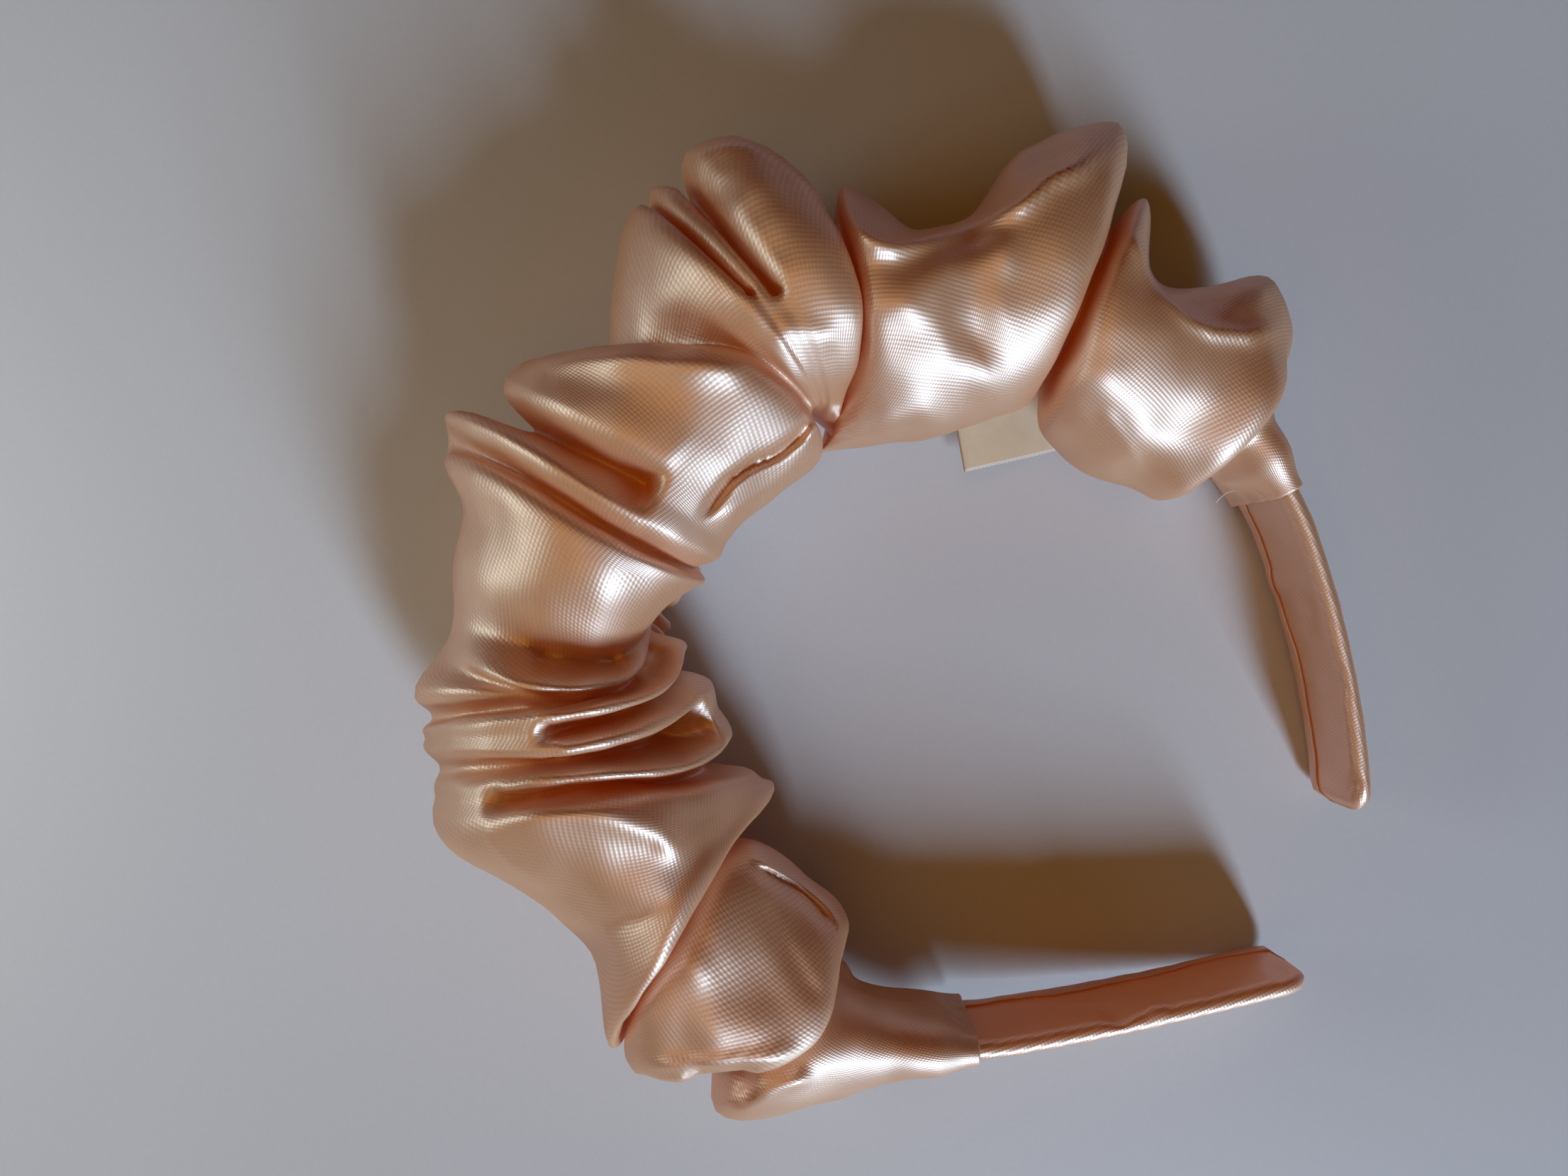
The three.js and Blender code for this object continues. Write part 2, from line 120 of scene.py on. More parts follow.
def to_photo(points):
    """Photograph pixels of crown-frame points."""
    x, y, z = points[..., 0], points[..., 1], points[..., 2]
    c, s = math.cos(PHOTO_TURN), math.sin(PHOTO_TURN)
    scale = FOCAL / (CAMERA_HEIGHT - z)
    u = PHOTO_CENTRE[0] + (CROWN_IN_PHOTO[0] + x * c - y * s) * scale
    v = PHOTO_CENTRE[1] - (CROWN_IN_PHOTO[1] + x * s + y * c) * scale
    return u, v


def from_photo(right, up):
    """Crown-frame plan position of a point `right` and `up`, in mm, from below the camera."""
    dx, dy = right - CROWN_IN_PHOTO[0], up - CROWN_IN_PHOTO[1]
    c, s = math.cos(PHOTO_TURN), math.sin(PHOTO_TURN)
    return dx * c + dy * s, -dx * s + dy * c


def row_point(right, up, z):
    x, y = from_photo(right, up)
    return Vector((np.array([x, y, z]) + CROWN_TO_ROW) * MM)


def smooth(x):
    x = np.clip(x, 0, 1)
    return x * x * (3 - 2 * x)


# ================================================================ mesh making

def mesh_object(name, vertices, faces, uvs=None, smooth_shading=True):
    """A new object from crown-frame points. uvs is one pair, in mm of cloth, for each vertex."""
    mesh = bpy.data.meshes.new(name)
    row = (np.asarray(vertices, float).reshape(-1, 3) + CROWN_TO_ROW) * MM
    mesh.from_pydata(row.tolist(), [], faces)
    if uvs is not None:
        layer = mesh.uv_layers.new(name="cloth")
        loops = np.empty(len(mesh.loops), int)
        mesh.loops.foreach_get("vertex_index", loops)
        flat = np.asarray(uvs, float).reshape(-1, 2)[loops]
        layer.data.foreach_set("uv", flat.ravel())
    if smooth_shading:
        mesh.polygons.foreach_set("use_smooth", [True] * len(mesh.polygons))
    mesh.update()
    obj = bpy.data.objects.new(name, mesh)
    bpy.context.scene.collection.objects.link(obj)
    return obj


def grid_faces(rows, columns, closed=False):
    faces = []
    for i in range(rows - 1):
        for j in range(columns if closed else columns - 1):
            k = (j + 1) % columns
            faces.append((i * columns + j, i * columns + k, (i + 1) * columns + k, (i + 1) * columns + j))
    return faces


# ================================================================ the gathered sleeve

RIDGE, VALLEY, PANEL = "ridge", "valley", "panel"
FULLNESS = {RIDGE: 0.95, VALLEY: 0.7, PANEL: 1.0}
LEAST_ROLL = {RIDGE: 6.0, VALLEY: 3.0, PANEL: 0.0}

# One row for each ridge, valley or panel, in order along the sleeve: its stations and its reaches
# from the centreline at [facing out, out and up, top, in and up, facing in]. A fifth value is the
# stretch around, in degrees, over which a valley is open.
LINES = [
    ("left cuff", PANEL, (-132, -132, -132, -132, -132), (6.5, 7.2, 12.8, 7, 6)),
    ("left neck", PANEL, (-122, -122, -122, -122, -122), (8.5, 9, 13.2, 7, 4.5)),
    ("left neck spread", PANEL, (-110.5, -112, -112, -112, -112), (15.5, 13.5, 13.3, 7.5, 4.5)),
    ("cone edge", RIDGE, (-98.5, -100.5, -106.5, -107, -109), (23.7, 19, 14, 8, 5)),
    ("behind cone", VALLEY, (-93.5, -94.5, -104.5, -104.5, -105), (15, 16, 14, 9, 6.5)),
    ("lower puff rim", RIDGE, (-90, -88.3, -102.8, -101.5, -102), (20, 25.3, 21.5, 20, 15.5)),
    ("lower puff", PANEL, (-88.8, -86.3, -91, -88, -87), (23, 25.3, 22, 21.5, 18.2)),
    ("lower puff far rim", RIDGE, (-86.7, -82.5, -77.8, -72, -75), (24.5, 23.5, 21.3, 19.8, 16.5)),
    ("under flap", VALLEY, (-83.5, -79, -73.8, -66.5, -69), (20, 17, 13.5, 12, 12.5)),
    ("flap rim", RIDGE, (-84, -80.5, -75.3, -67.8, -65.8), (24, 24.3, 24.7, 22.8, 23.6)),
    ("flap waist", PANEL, (-73, -71, -69, -65, -64), (16.7, 18.5, 24.3, 22.8, 24)),
    ("flap", PANEL, (-63, -62, -62, -61, -61.8), (19.3, 21.3, 24.3, 23, 22.8)),
    ("flap lip", RIDGE, (-48, -49, -51, -56, -59.5), (30, 29, 25, 22.5, 22)),
    ("long pocket", VALLEY, (-47, -48, -49, -53, -54), (29, 24, 14, 12, 14), (56, 270)),
    ("third pleat", RIDGE, (-46, -45, -46.5, -50, -48), (29.5, 27, 24, 21, 20.5)),
    ("loop hollow", VALLEY, (-44, -43.5, -44.5, -45, -41), (28, 24, 14, 10, 9), (-100, 158)),
    ("second pleat", RIDGE, (-41, -41, -42, -40, -34.5), (30.3, 27, 24, 19, 18)),
    ("short pocket", VALLEY, (-40.2, -40, -39.3, -36.5, -31), (29.5, 26, 13.5, 12, 9), (78, 270)),
    ("first pleat", RIDGE, (-39.5, -38, -37, -34, -27), (30, 27, 24, 17.6, 13.5)),
    ("beside lobe", VALLEY, (-38.2, -36.8, -35.9, -32.3, -24.2), (28.5, 22.5, 14, 9, 7)),
    ("outer lobe", RIDGE, (-36, -34, -35.1, -31.5, -23.4), (31, 27, 16, 8.5, 6.5)),
    ("under bowl", VALLEY, (-30, -32.5, -34.6, -30.8, -22.6), (26.5, 24, 17, 9, 6.5)),
    ("bowl lip", RIDGE, (-28, -31.5, -33.6, -30, -21.7), (25.5, 24.5, 23.5, 11, 7.5)),
    ("bowl", VALLEY, (-25, -27.5, -30, -27, -19.5), (25, 22, 12.5, 9, 7.5)),
    ("bowl back", PANEL, (-20, -20.5, -24, -23, -18), (26.5, 25, 19, 11, 9)),
    ("crown panel", PANEL, (-14, -14, -14.5, -15, -14), (27, 26, 24.5, 17.5, 11)),
    ("crown panel rim", RIDGE, (-9, -8.5, -11.5, -12.5, -10.5), (33, 28.5, 24.5, 19.5, 12.5)),
    ("roll crease", VALLEY, (-7.8, -7.5, -9.8, -11, -9.5), (32, 24, 18, 16, 10.5), (8, 270)),
    ("roll", RIDGE, (-5.5, -4.5, -6, -6.5, -5.3), (36, 30.5, 25, 20.5, 13)),
    ("crown pocket", VALLEY, (-2, -1.5, -0.8, -1, -3), (22, 19, 14, 14, 10), (-100, 96)),
    ("broad puff lip", RIDGE, (1, 1.8, 2.8, 1.5, -1.5), (30, 28, 24.5, 21, 13)),
    ("broad puff", PANEL, (4, 5, 10, 12, 12), (29.5, 27, 25, 21.6, 16.8)),
    ("broad puff top", RIDGE, (6, 9.5, 22, 27, 26.6), (26, 25.5, 24.3, 20, 15.6)),
    ("behind broad puff", VALLEY, (10, 15, 25.5, 29.3, 27.4), (19, 17, 18, 14, 9)),
    ("leaning panel", PANEL, (18, 21, 27.3, 29.9, 28.8), (27.5, 25, 23, 14.5, 7.5)),
    ("leaning panel rim", RIDGE, (25.5, 26.3, 29, 30.5, 29.4), (34, 30, 24, 14.5, 7.8)),
    ("first rib crease", VALLEY, (26.2, 27, 29.8, 31, 29.7), (33, 22, 16, 11, 7), (4, 72)),
    ("first rib", RIDGE, (27.5, 28.8, 31, 31.8, 30), (35.5, 30, 23.5, 14.5, 9)),
    ("second rib crease", VALLEY, (30.5, 31, 32.8, 32.5, 30.3), (31, 22, 16, 11, 8.5), (-50, 76)),
    ("second rib", RIDGE, (32.5, 33, 34.2, 33.2, 30.9), (37.5, 32, 24, 15, 12.5)),
    ("shell", PANEL, (35.5, 36, 36.5, 34.4, 31), (37, 33, 24.5, 15.2, 13.5)),
    ("shell back", RIDGE, (40.5, 40, 39.3, 35.8, 31), (32, 29.5, 25, 15.4, 14.8)),
    ("shell edge", RIDGE, (43.5, 43, 42.3, 36.9, 31), (24.5, 25, 24.3, 15, 15.6)),
    ("dark valley", VALLEY, (45.5, 45, 43.6, 38.3, 31), (17, 16, 14.5, 11.5, 16.2)),
    ("large puff rim", RIDGE, (47.5, 46.2, 45, 38.8, 27.6), (22.5, 23.3, 23, 17, 16)),
    ("large puff", PANEL, (56, 56, 55, 51, 44), (15, 16, 23, 22.5, 20.5)),
    ("large puff saddle", PANEL, (61, 61, 61, 60, 58), (14.3, 16.5, 22.5, 22.5, 20.8)),
    ("large puff crest", RIDGE, (71, 69, 67, 67, 67), (28, 27, 23.5, 22, 18.3)),
    ("large puff peak", RIDGE, (80, 79, 78, 77, 77), (35, 28.3, 23, 17.5, 14.5)),
    ("beside large puff", VALLEY, (83, 82, 80.5, 80, 80), (17, 15, 13.5, 9, 8)),
    ("right puff rim", RIDGE, (86, 84, 82.5, 82, 82), (24.5, 23, 22.5, 21.3, 18)),
    ("right puff back", PANEL, (92, 91.5, 91, 90, 90), (13.7, 13.8, 22.8, 22.8, 20.8)),
    ("right puff", PANEL, (97, 97, 97, 98, 100), (14.6, 17, 21.8, 22.6, 21.3)),
    ("right puff crest", PANEL, (105, 105, 105, 107, 109), (23.3, 21, 20.5, 20.5, 18.8)),
    ("right puff lobe", RIDGE, (110.5, 111.5, 115, 117, 117), (21.3, 17.5, 20.5, 19.5, 16.3)),
    ("right neck fold", VALLEY, (117, 117, 117.5, 119, 120), (10.3, 9, 13, 8, 6.5)),
    ("right neck", PANEL, (122, 123, 123, 124, 125), (7.2, 7.3, 13.2, 8, 5.8)),
    ("right cuff", PANEL, (129, 129, 129, 129, 129), (6.5, 6.6, 12.8, 7, 7)),
]

UNDERSIDE = {VALLEY: 15.0, RIDGE: 23.0, PANEL: 22.0}
UNDERSIDE_CLEARANCE, INNER_TUCK, NECK_TUCK, CUFF_UNDER = 0.5, 1.8, 3.0, 12.8
POCKET_END = 9.0          # degrees over which a pocket's end rises
SLEEVE_COLUMNS = 176
RING_STEP = 1.0
TABLE_GAP = 0.3


def sleeve_knots():
    """Stations and reaches of every line at eight even angles around."""
    stations, reaches = [], []
    for name, kind, station, reach, *_ in LINES:
        to_table = float(centre(station[2])[2]) - UNDERSIDE_CLEARANCE
        tight = name.endswith("cuff") or "neck" in name
        under = min(CUFF_UNDER if tight else UNDERSIDE[kind], to_table)
        below = (station[0] + station[2] + station[4]) / 3
        stations.append([*station, 0.6 * station[4] + 0.4 * below, below, 0.6 * station[0] + 0.4 * below])
        tuck = NECK_TUCK if tight else INNER_TUCK
        reaches.append([*reach, (reach[4] + under) / 2 - tuck, under, 0.4 * reach[0] + 0.6 * under])
    return np.array(stations, float), np.array(reaches, float)


def around_curve(values, columns):
    """Smooth closed curves through eight even values, at every column."""
    t = np.arange(columns) * 8 / columns
    i = np.floor(t).astype(int)
    f = t - i
    a, b, c, d = (values[:, (i + k) % 8] for k in (-1, 0, 1, 2))
    return 0.5 * (2 * b + (c - a) * f + (2 * a - 5 * b + 4 * c - d) * f**2 + (3 * b - 3 * c + d - a) * f**3)


def line_crossings(columns):
    """(station, reach) of every line in every column."""
    stations, reaches = (around_curve(v, columns) for v in sleeve_knots())
    degrees = np.arange(columns) * 360 / columns
    signed = np.where(degrees > 270, degrees - 360, degrees)
    for k, (_, _, _, _, *window) in enumerate(LINES):
        if not window:
            continue
        start, end = window[0]
        opening = smooth((signed - start) / POCKET_END + 0.5)
        if end < 270:
            opening = opening * smooth((end - signed) / POCKET_END + 0.5)
        for values, drop in ((reaches, TABLE_GAP), (stations, 0)):
            shut = (values[k - 1] + values[k + 1]) / 2 - drop
            values[k] = shut * (1 - opening) + values[k] * opening
    return np.stack([stations, reaches], -1)


def sleeve_grid(columns, step):
    """(station, reach) on the whole sleeve, rings by columns."""
    knots = line_crossings(columns)
    chords = knots[1:] - knots[:-1]
    spans = np.linalg.norm(chords, axis=-1) + 1e-6
    heading = chords / spans[..., None]
    slopes = np.concatenate([heading[:1], np.zeros_like(heading[1:]), heading[-1:]])
    weight = (spans[:-1] / (spans[:-1] + spans[1:]))[..., None]
    slopes[1:-1] = heading[1:] * weight + heading[:-1] * (1 - weight)
    strength = np.linalg.norm(slopes, axis=-1) + 1e-6
    slopes = slopes / strength[..., None]
    rings = []
    for k, span in enumerate(spans):
        tangents = []
        for end in (k, k + 1):
            kind = LINES[end][1]
            roll = np.minimum(0.9 * span, LEAST_ROLL[kind])
            length = np.maximum(strength[end] * span * FULLNESS[kind], roll)
            tangents.append(slopes[end] * length[..., None])
        count = max(3, round(float(span.mean()) / step))
        for t in np.arange(count) / count:
            rings.append(
                (2 * t**3 - 3 * t**2 + 1) * knots[k] + (t**3 - 2 * t**2 + t) * tangents[0]
                + (3 * t**2 - 2 * t**3) * knots[k + 1] + (t**3 - t**2) * tangents[1])
    rings.append(knots[-1])
    return np.array(rings)


# ---------------------------------------------------------------- folds drawn over the photograph
# A stroke raises or lowers the cloth along a line of photograph pixels: (name, height in mm, half
# width in pixels, crispness, points). Crispness 2 is a round hump and 1 a sharp crest.

STROKES = [
    # the large puff and the cloth that drops behind its long ridge
    ("large puff ridge", 2.6, 14, 1.8, [
        (1165, 270), (1185, 300), (1205, 328), (1232, 348), (1262, 354), (1300, 346), (1350, 330),
        (1400, 310), (1440, 290), (1475, 258), (1515, 240), (1545, 212), (1562, 182)]),
    ("large puff drop", -3.0, 30, 2, [(1250, 310), (1330, 292), (1400, 265), (1460, 222), (1520, 190)]),
    ("large puff terrace", 0.5, 38, 2, [(1350, 540), (1390, 530), (1428, 510)]),
    ("large puff dimple", -1.5, 54, 2, [(1330, 490), (1368, 468), (1425, 445)]),
    # the right puff
    ("right puff ridge", 1.3, 10, 1.6, [
        (1588, 292), (1597, 340), (1615, 380), (1640, 420), (1672, 450), (1712, 470), (1760, 474),
        (1800, 462), (1822, 448)]),
    ("right puff hollow", -1.8, 24, 2, [(1625, 350), (1650, 395), (1690, 425), (1740, 430)]),
    ("right puff back lobe", 1.5, 26, 2, [(1715, 398), (1770, 400), (1800, 425)]),
    ("right puff first wrinkle", 0.4, 9, 2, [(1548, 575), (1572, 610), (1592, 640), (1606, 668)]),
    # the shell and its ribs
    ("shell rim", 1.6, 13, 1.6, [
        (1000, 300), (966, 268), (968, 240), (992, 218), (1040, 208), (1080, 218), (1115, 243),
        (1150, 272), (1182, 304)]),
    ("shell scoop", -2.6, 26, 2, [(990, 250), (1005, 275), (1030, 300)]),
    ("shell floor", -1.0, 40, 2, [(1040, 260), (1090, 330), (1100, 390)]),
    ("shell foot", 1.2, 24, 2, [(1085, 455), (1120, 470), (1160, 480), (1195, 470)]),
    ("leaning dent", -1.4, 34, 2, [(900, 470), (950, 470), (1000, 470)]),
    # the broad puff
    ("broad puff rim", 2.0, 20, 1.6, [
        (735, 530), (770, 514), (830, 508), (900, 508), (970, 516), (1030, 522), (1070, 505)]),
    ("broad puff fold", -2.6, 7, 2, [
        (1152, 585), (1130, 612), (1098, 640), (1060, 655), (1030, 676), (1008, 705), (985, 738)]),
    ("broad puff roll", 1.0, 13, 2, [(1155, 600), (1140, 645), (1105, 680), (1060, 705), (1010, 740)]),
    # the bowl, the loops and the two pockets
    ("bowl rim", 1.0, 9, 1.6, [
        (652, 905), (667, 927), (693, 947), (723, 965), (753, 977), (793, 985), (833, 983),
        (867, 975), (893, 957), (903, 938)]),
    ("bowl hollow", -2.5, 22, 2, [(735, 925), (790, 955), (850, 955), (890, 930)]),
    ("upper loop rim", 1.0, 9, 1.6, [
        (927, 882), (953, 897), (965, 927), (960, 953), (943, 967), (913, 987), (873, 1000)]),
    ("upper loop hollow", -2.0, 14, 2, [(925, 905), (925, 935), (905, 960)]),
    ("short pocket rim", 0.9, 8, 1.6, [
        (943, 975), (900, 997), (840, 1005), (790, 1008), (766, 1014), (757, 1030), (770, 1046),
        (800, 1054), (850, 1048), (900, 1032), (950, 1005)]),
    ("lower loop rim", 1.0, 9, 1.6, [
        (973, 955), (1007, 960), (1030, 987), (1037, 1015), (1030, 1045), (1005, 1070), (960, 1086),
        (900, 1092), (813, 1100), (747, 1103), (713, 1112), (700, 1128), (712, 1144), (740, 1148)]),
    ("lower loop hollow", -2.5, 18, 2, [(985, 1005), (990, 1035), (950, 1055), (915, 1062)]),
    ("middle pleat shine", 0.8, 10, 2, [(775, 1062), (830, 1066), (880, 1060), (920, 1045)]),
    ("outer lobe crease", -0.8, 7, 2, [(612, 1022), (660, 1015), (700, 1002), (750, 992)]),
    ("second outer crease", -0.8, 7, 2, [(635, 1107), (680, 1098), (730, 1088), (790, 1080)]),
    # the crown panel
    ("crown panel far side", -0.5, 34, 2, [(690, 690), (680, 760), (675, 840)]),
    # the flap
    ("flap crest", 1.9, 24, 2, [(690, 1140), (780, 1140), (860, 1146), (930, 1170), (985, 1215)]),
    ("flap dent", -0.4, 26, 2, [(860, 1300), (910, 1288), (950, 1275)]),
    ("flap crease", -0.5, 9, 2, [(850, 1310), (890, 1300), (925, 1292)]),
    ("flap far side", -1.0, 40, 2, [(760, 1230), (820, 1270), (870, 1350)]),
    ("flap fold edge", 0.9, 15, 2, [(1020, 1180), (980, 1250), (945, 1320), (915, 1390), (875, 1440)]),
    # the lower puff
    ("lower puff fold", -2.2, 8, 2, [
        (1062, 1222), (1090, 1240), (1120, 1256), (1145, 1276), (1165, 1298), (1180, 1318)]),
    ("lower puff roll", 1.6, 11, 2, [(1045, 1203), (1100, 1220), (1150, 1246), (1185, 1285), (1193, 1330)]),
    ("lower puff foot", 1.2, 10, 1.6, [(905, 1500), (960, 1500), (1030, 1494), (1090, 1488), (1130, 1470)]),
    ("lower puff lift", 1.4, 45, 2, [(960, 1455), (1040, 1450), (1110, 1430)]),
    ("lower puff bulge", 0.7, 24, 2, [(950, 1360), (985, 1368), (1010, 1380)]),
    ("lower puff crease", -0.5, 12, 2, [(1080, 1270), (1105, 1330), (1140, 1390), (1160, 1420)]),
    ("ellipse pocket", -3.0, 17, 2, [(962, 1522), (1010, 1526), (1070, 1524)]),
    ("cone lip", 1.6, 12, 2, [(1000, 1556), (1050, 1552), (1100, 1530), (1150, 1512)]),
    # broad shapes on the puffs, and the gap between two of them
    ("large puff foot", 1.5, 34, 2, [(1225, 615), (1285, 595), (1345, 580)]),
    ("right puff shoulder", 1.0, 44, 2, [(1520, 500), (1560, 570), (1620, 630), (1690, 670)]),
    ("large puff brow", 1.3, 30, 2, [(1262, 470), (1285, 415), (1330, 378), (1400, 356), (1450, 350)]),
    ("broad puff corner", 1.8, 16, 2, [(1143, 560), (1150, 592), (1148, 625)]),
    ("large puff tail", 1.5, 16, 2, [(1185, 570), (1168, 600), (1160, 630)]),
]

def distance_to_line(u, v, points):
    """Distance of pixels to a polyline, and the share of the way along it."""
    best = np.full(u.shape, np.inf)
    along = np.zeros(u.shape)
    points = np.array(points, float)
    lengths = np.linalg.norm(points[1:] - points[:-1], axis=-1)
    total, done = lengths.sum(), 0.0
    for a, b, length in zip(points[:-1], points[1:], lengths):
        t = np.clip(((u - a[0]) * (b[0] - a[0]) + (v - a[1]) * (b[1] - a[1])) / length**2, 0, 1)
        d = np.hypot(u - a[0] - t * (b[0] - a[0]), v - a[1] - t * (b[1] - a[1]))
        nearer = d < best
        best = np.where(nearer, d, best)
        along = np.where(nearer, (done + t * length) / total, along)
        done += length
    return best, along


FADE_WIDTHS = 1.3                          # a stroke's ends fade over this many half widths
LEAST_FADE, MOST_FADE = 0.18, 0.5          # and within these shares of its length


def draw_strokes(points, upper):
    rise = np.zeros(points.shape[:-1])
    u, v = to_photo(points)
    for _, height, width, crispness, line in STROKES:
        d, along = distance_to_line(u, v, line)
        length = sum(math.dist(a, b) for a, b in zip(line, line[1:]))
        fade = min(max(FADE_WIDTHS * width / length, LEAST_FADE), MOST_FADE)
        ends = smooth(np.minimum(along, 1 - along) / fade)
        rise += height * ends * np.exp(-((d / width) ** crispness))
    points[..., 2] += rise * upper


def surface_normals(points):
    """Unit normals of a closed grid, pointing away from the centreline."""
    along = np.gradient(points, axis=0)
    around = (np.roll(points, -1, 1) - np.roll(points, 1, 1)) / 2
    normal = np.cross(around, along)
    return normal / (np.linalg.norm(normal, axis=-1, keepdims=True) + 1e-9)


# Slow ripples of the cloth: (waves per mm along x, y and z, phase, height in mm).
RIPPLES = [
    (0.08, 0.04, 0.05, 0.4, 0.07), (-0.05, 0.09, 0.04, 2.1, 0.07), (0.06, -0.07, 0.08, 4.4, 0.05),
    (0.16, 0.13, -0.09, 1.2, 0.012), (-0.17, 0.08, 0.14, 5.2, 0.012), (0.04, -0.21, 0.12, 3.3, 0.01),
]


def ripple(points):
    height = 0.0
    for along_x, along_y, along_z, phase, size in RIPPLES:
        turns = points[..., 0] * along_x + points[..., 1] * along_y + points[..., 2] * along_z
        height = height + size * np.sin(2 * math.pi * turns + phase)
    return height


CUFF = {"left": -132.0, "right": 129.0}
CUFF_BLEND = 7.0          # length over which the sleeve closes on the band
CUFF_CLEARANCE = 1.15     # from the band's core to the sleeve's cuff
HEM_DEPTH, HEM_LAYER = 4.5, 0.45
# The hem turns over its edge and back inside: (mm beyond the cuff, mm in from the cloth).
HEM_PROFILE = [(0.28, 0.08), (0.42, 0.25), (0.28, 0.42), (0, HEM_LAYER),
               (-HEM_DEPTH / 2, HEM_LAYER), (-HEM_DEPTH, HEM_LAYER)]


def cuff_ring(station, clearance, turn):
    """Crown-frame points of a ring that hugs the band."""
    out, up = band_section(band_half_width(np.array(station)), clearance, turn)
    # Small even puckers, as stitching leaves them.
    pucker = 0.22 * np.sin(9 * turn + 0.7) + 0.13 * np.sin(16 * turn + 2.0)
    return beside(np.full(turn.shape, station), out * (1 + pucker / 6), up + 0.2 * pucker)


def close_cuffs(points, stations, turn):
    for side, end in CUFF.items():
        inward = 1 if side == "left" else -1
        near = smooth(1 - (stations - end) * inward / CUFF_BLEND)
        for i in np.nonzero(near.max(1) > 0)[0]:
            hug = cuff_ring(float(stations[i].mean()), CUFF_CLEARANCE, turn)
            points[i] += (hug - points[i]) * near[i][:, None]


def add_hems(points, turn):
    """Turn each end of the sleeve in on itself."""
    rings = {"left": [], "right": []}
    for side, end in CUFF.items():
        outward = -1 if side == "left" else 1
        for step, layer in HEM_PROFILE:
            rings[side].append(cuff_ring(end + outward * step, CUFF_CLEARANCE - layer, turn))
    return np.concatenate([rings["left"][::-1], points, rings["right"]])


# Strokes act in full above the centreline and fade out below it.
UPPER_FADE, UPPER_SHARE = 14.0, 0.6        # mm of height, and the share at the centreline


def sleeve_surface():
    """Crown-frame points of the sleeve, rings by columns."""
    grid = sleeve_grid(SLEEVE_COLUMNS, RING_STEP)
    turn = np.arange(SLEEVE_COLUMNS) * 2 * math.pi / SLEEVE_COLUMNS
    stations = grid[..., 0]
    points = beside(stations, grid[..., 1] * np.cos(turn), grid[..., 1] * np.sin(turn))
    upper = smooth((points[..., 2] - centre(stations)[2]) / UPPER_FADE + UPPER_SHARE)
    close_cuffs(points, stations, turn)
    draw_strokes(points, upper)
    points += surface_normals(points) * ripple(points)[..., None]
    points[..., 2] = np.maximum(points[..., 2], TABLE_GAP)
    return add_hems(points, turn)


def cloth_coordinates(points, closed):
    """Distances, in mm, along and across the cloth at each point.

    Both are averages over a whole ring, so that the weave's rows follow the rings and never shear.
    """
    steps = np.linalg.norm(points[1:] - points[:-1], axis=-1).mean(1, keepdims=True)
    along = np.concatenate([np.zeros((1, 1)), np.cumsum(steps, 0)]) + np.zeros(points.shape[:2])
    columns = points.shape[1]
    around = np.linalg.norm(np.roll(points, -1, 1) - points, axis=-1)
    girth = around.sum(1).mean() if closed else around[:, :-1].sum(1).mean()
    across = np.broadcast_to(np.arange(columns) * girth / columns, along.shape)
    return np.stack([along, across], -1), girth


def make_sleeve():
    points = sleeve_surface()
    uvs, girth = cloth_coordinates(points, True)
    rings, columns, _ = points.shape
    # The first column is repeated as the last, so that the cloth coordinates don't wrap round.
    points = np.concatenate([points, points[:, :1]], 1)
    last = uvs[:, :1] + np.array([0, girth])
    uvs = np.concatenate([uvs, last], 1)
    return mesh_object("sleeve_cloth", points, grid_faces(rings, columns + 1), uvs)


# ================================================================ the covered band

def band_half_width(station):
    to_tip = np.where(station > 0, RIGHT_END - station, station - LEFT_END)
    taper = np.clip(to_tip / TAPER_LENGTH, 0, 1)
    half = (TIP_WIDTH + (BAND_WIDTH - TIP_WIDTH) * taper) / 2
    corner = np.clip(TIP_ROUNDING - to_tip, 0, TIP_ROUNDING)
    return half - (TIP_ROUNDING - np.sqrt(TIP_ROUNDING**2 - corner**2))


def band_section(half, clearance, turn):
    """(out, up) around a band of this half width, `clearance` proud of its core.

    The section is two flat faces joined by half circles, and a turn of 360 degrees is once round it,
    from the middle of the outer face upwards.
    """
    radius = BAND_THICKNESS / 2 + clearance
    flat = half - BAND_THICKNESS / 2
    cap = math.pi * radius
    way = np.mod(turn / (2 * math.pi), 1) * (4 * flat + 2 * cap)
    top = np.clip((way - flat) / cap, 0, 1) * math.pi
    bottom = np.clip((way - 3 * flat - cap) / cap, 0, 1) * math.pi
    out = radius * np.cos(top) * np.cos(bottom)
    up = (np.clip(way, 0, flat) + radius * np.sin(top) - np.clip(way - flat - cap, 0, 2 * flat)
          - radius * np.sin(bottom) + np.clip(way - 3 * flat - 2 * cap, 0, flat))
    return out, up


# The cover is one strip wrapped round the core. It starts under its own lap, low on the inner face,
# and ends in a folded edge on top of that start.
LAP_START, LAP_EDGE = 0.08, 0.22      # shares of the inner face's height, from its lower edge
LAP_LIFT = 0.45
COVER_CLEARANCE = 0.12                # from the core to the cover
SECTION_COLUMNS, LAP_COLUMNS = 52, 9
BAND_RINGS = 420
TIP_STEPS = np.array([0, 0.15, 0.5, 1.1, 2, 3.2])     # mm from a tip to its closer rings

